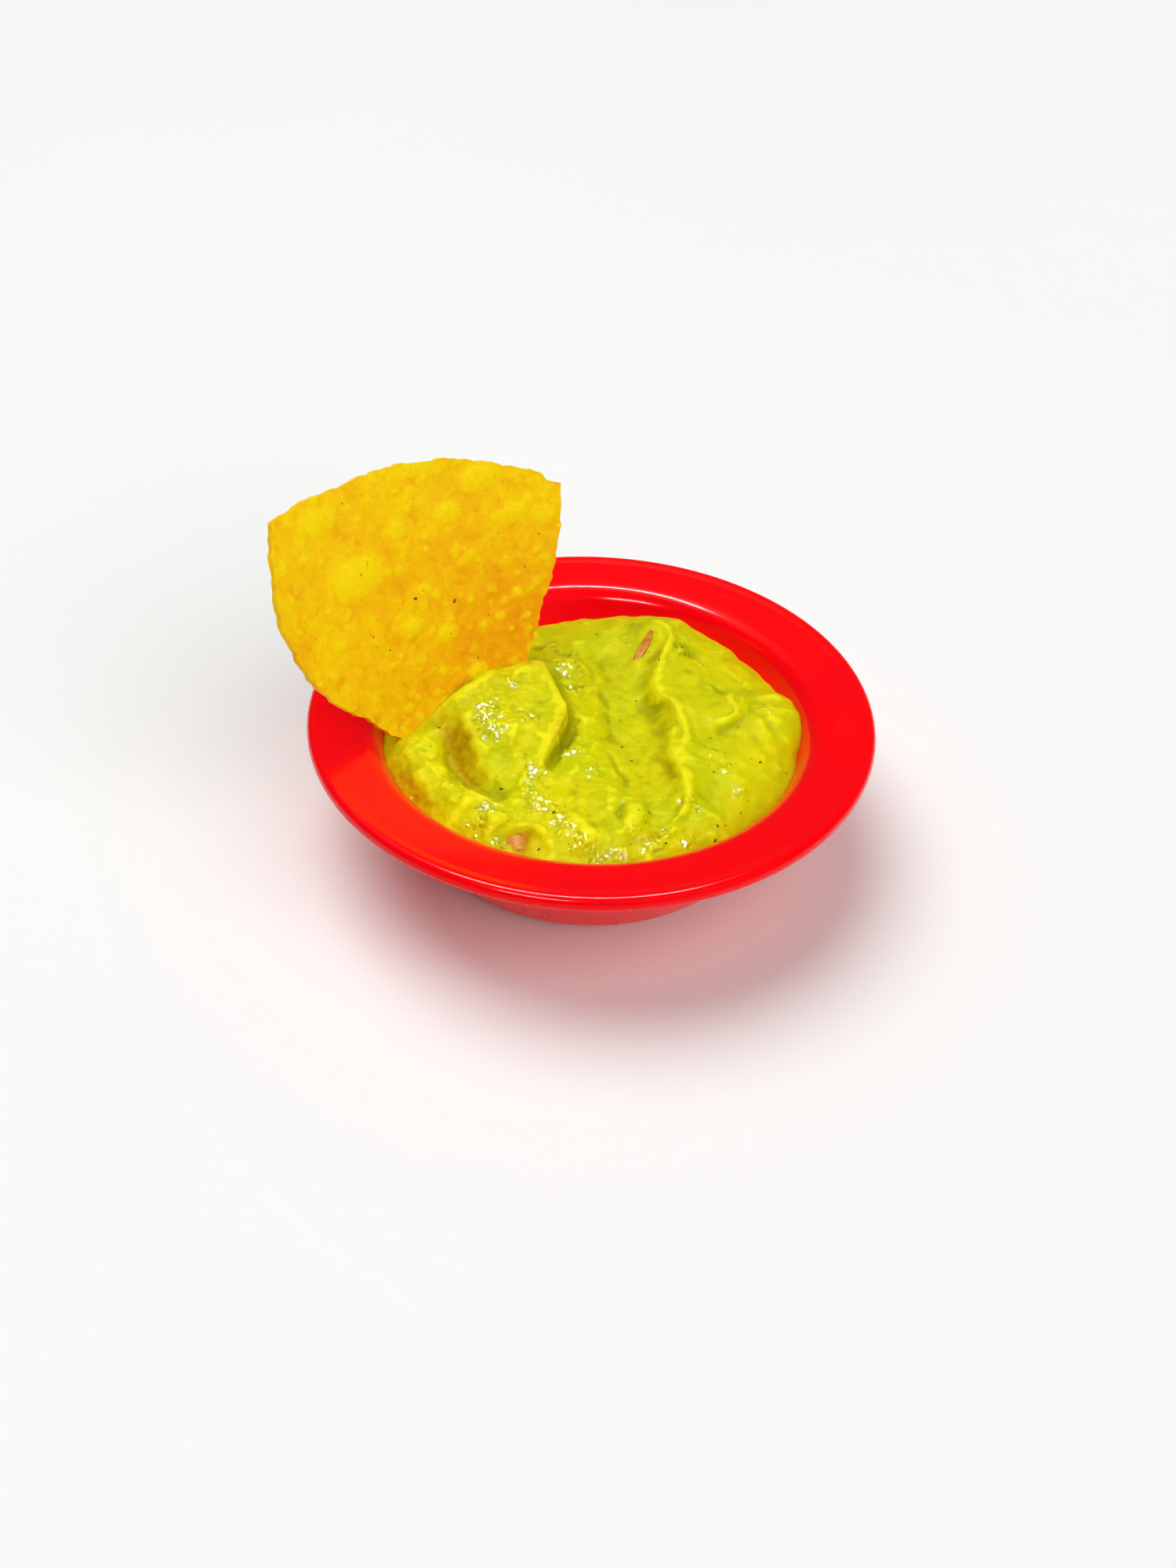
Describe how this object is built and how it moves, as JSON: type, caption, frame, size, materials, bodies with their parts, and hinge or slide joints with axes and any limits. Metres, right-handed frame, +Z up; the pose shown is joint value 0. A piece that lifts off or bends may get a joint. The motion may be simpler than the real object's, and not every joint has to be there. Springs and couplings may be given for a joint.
{
  "type": "guacamole in a rimmed dish",
  "caption": "Smooth guacamole heaped in a small round wide-rimmed dish, with a corn tortilla chip standing in it.",
  "frame": {"origin": "on the dish's axis, at the plane of the flat foot it stands on", "axes": "+Z up along the dish's axis, -Y towards the side from which the open face of the chip is seen, +X to the right of it"},
  "size_m": [0.1236, 0.1194, 0.0748],
  "materials": {
    "dish_red": "gloss",
    "guacamole": "satin",
    "corn_chip": "matte"
  },
  "bodies": {
    "root": {"bowl": "dish_red", "guacamole": "guacamole", "tortilla_chip": "corn_chip"}
  },
  "joints": []
}
